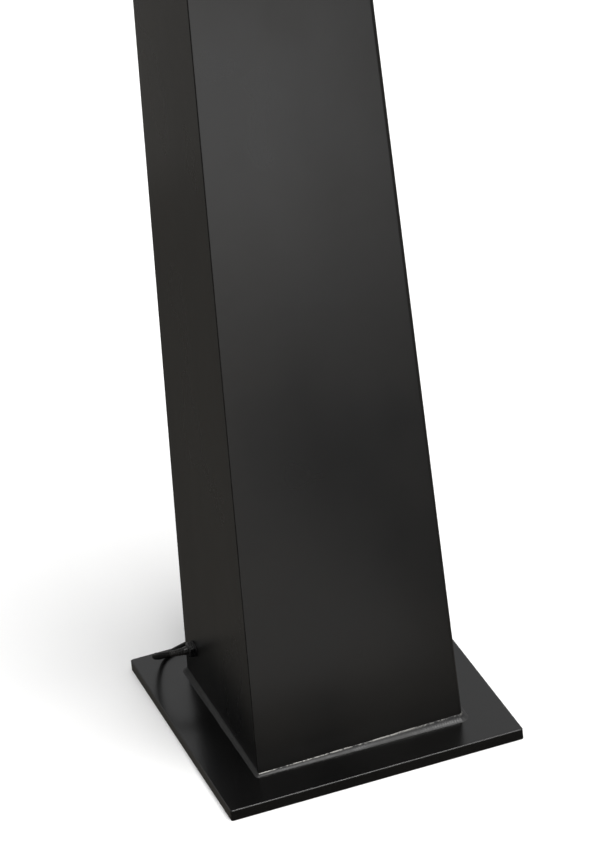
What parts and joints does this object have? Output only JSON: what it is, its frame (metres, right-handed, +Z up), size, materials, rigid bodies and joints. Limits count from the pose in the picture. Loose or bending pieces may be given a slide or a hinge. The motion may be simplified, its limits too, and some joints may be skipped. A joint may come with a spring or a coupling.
{
  "type": "garden obelisk",
  "caption": "Tall tapered square obelisk of folded black sheet steel on a flat welded base plate, with a low light under a pyramid cap and a mains lead from its foot.",
  "frame": {"origin": "centre of the base plate's underside, on the ground", "axes": "+Z up the obelisk; the front face looks along -Y; the mains lead leaves the left face, -X, near its rear edge"},
  "size_m": [0.4, 0.5134, 2.2],
  "materials": {
    "black_steel": "satin powder coat",
    "weld_metal": "coated weld bead",
    "rubber": "matt",
    "black_plastic": "satin",
    "tie_strap": "woven",
    "zinc_steel": "zinc plated",
    "grey_plastic": "satin",
    "white_plastic": "satin",
    "earth_sleeve": "satin",
    "bare_aluminium": "extruded",
    "opal_acrylic": "opal"
  },
  "bodies": {
    "root": {"base_plate": "black_steel", "shell_front_right": "black_steel", "shell_rear_left": "black_steel", "seam_weld_front_left": "weld_metal", "seam_weld_rear_right": "weld_metal", "foot_weld": "weld_metal", "gland_washer": "rubber", "gland_body": "black_plastic", "gland_nut": "black_plastic", "gland_seal": "rubber", "gland_locknut": "black_plastic", "strain_relief": "rubber", "supply_cord": "rubber", "cord_coil": "rubber", "cord_tie": "tie_strap", "plug_tail": "rubber", "plug_body": "black_plastic", "plug_pins": "zinc_steel", "supply_tail": "rubber", "terminal_box": "grey_plastic", "terminal_box_lid": "grey_plastic", "terminal_box_screws": "zinc_steel", "terminal_block": "white_plastic", "earth_stud": "zinc_steel", "earth_fasteners": "zinc_steel", "earth_lead": "earth_sleeve", "riser_cable": "rubber", "cable_clips": "black_plastic", "hatch_cover": "black_steel", "hatch_gasket": "rubber", "hatch_screws": "zinc_steel", "hatch_nut_strips": "zinc_steel", "head_plate": "black_steel", "head_screws": "zinc_steel", "heat_sink": "bare_aluminium", "led_board": "white_plastic", "led_lead": "white_plastic", "diffuser": "opal_acrylic", "standoffs": "zinc_steel", "cap_bolts": "zinc_steel", "cap_plate": "black_steel", "cap_shell": "black_steel", "driver_bracket": "zinc_steel", "led_driver": "grey_plastic", "driver_screws": "zinc_steel"}
  },
  "joints": []
}
